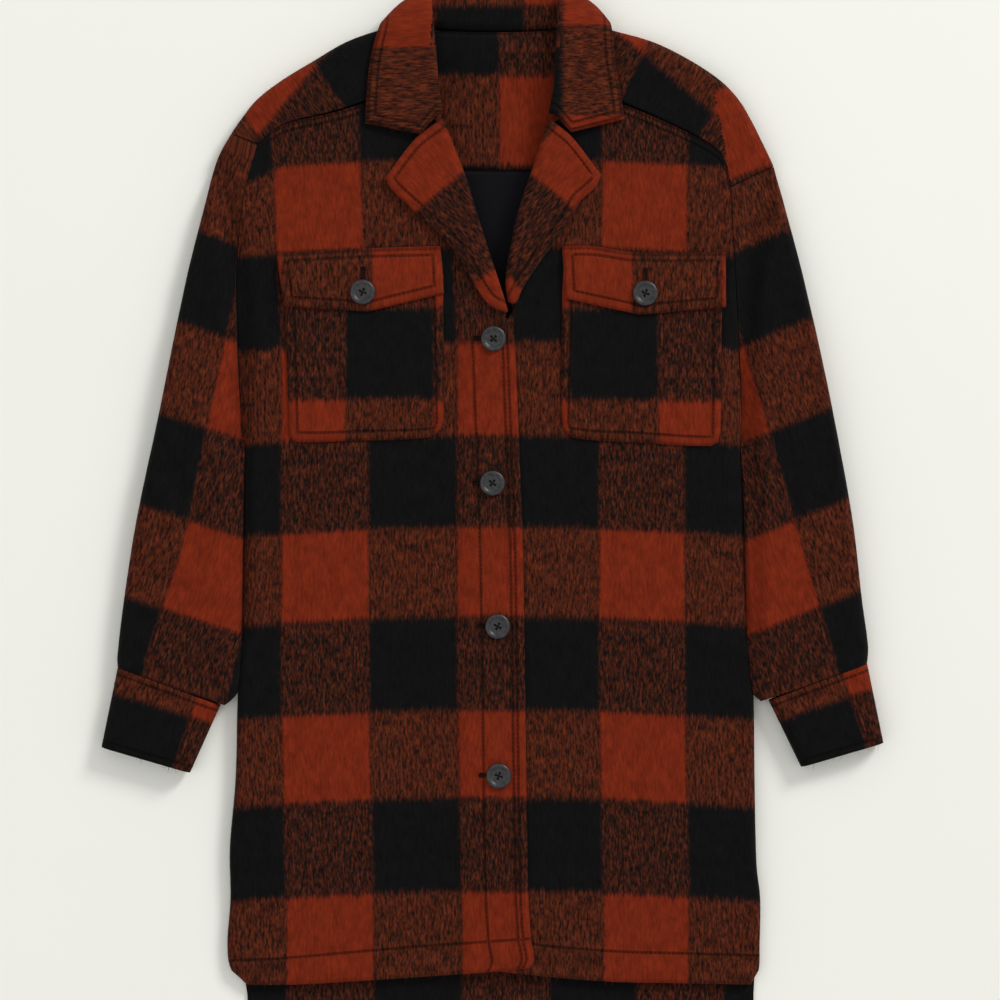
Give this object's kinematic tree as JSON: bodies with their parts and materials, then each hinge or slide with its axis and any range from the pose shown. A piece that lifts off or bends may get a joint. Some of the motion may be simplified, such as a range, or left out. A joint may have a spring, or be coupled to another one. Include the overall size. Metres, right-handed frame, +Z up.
{
  "type": "shirt jacket",
  "caption": "Long checked wool shirt jacket with notched lapels, chest flap pockets and cuffs, buttoned and laid flat on its back.",
  "frame": {"origin": "on the surface that the jacket lies on, under the middle of its bounding box", "axes": "+X to the wearer's left, +Y from hem to collar, +Z up out of the jacket's front"},
  "size_m": [0.745, 0.9957, 0.0306],
  "materials": {
    "checked_wool": "soft brushed wool cloth with a large check",
    "lining": "smooth satin lining",
    "horn_button": "satin dark four-hole button"
  },
  "bodies": {
    "root": {"back": "checked_wool", "yoke": "checked_wool", "neck_facing": "checked_wool", "lining": "lining", "collar": "checked_wool", "front_right": "checked_wool", "front_left": "checked_wool", "lapel_facing_right": "checked_wool", "lapel_facing_left": "checked_wool", "sleeve_right": "checked_wool", "sleeve_left": "checked_wool", "cuff_right": "checked_wool", "cuff_left": "checked_wool", "pocket_right": "checked_wool", "pocket_left": "checked_wool", "flap_right": "checked_wool", "flap_left": "checked_wool", "button_front_1": "horn_button", "button_front_2": "horn_button", "button_front_3": "horn_button", "button_front_4": "horn_button", "button_flap_right": "horn_button", "button_flap_left": "horn_button"}
  },
  "joints": []
}
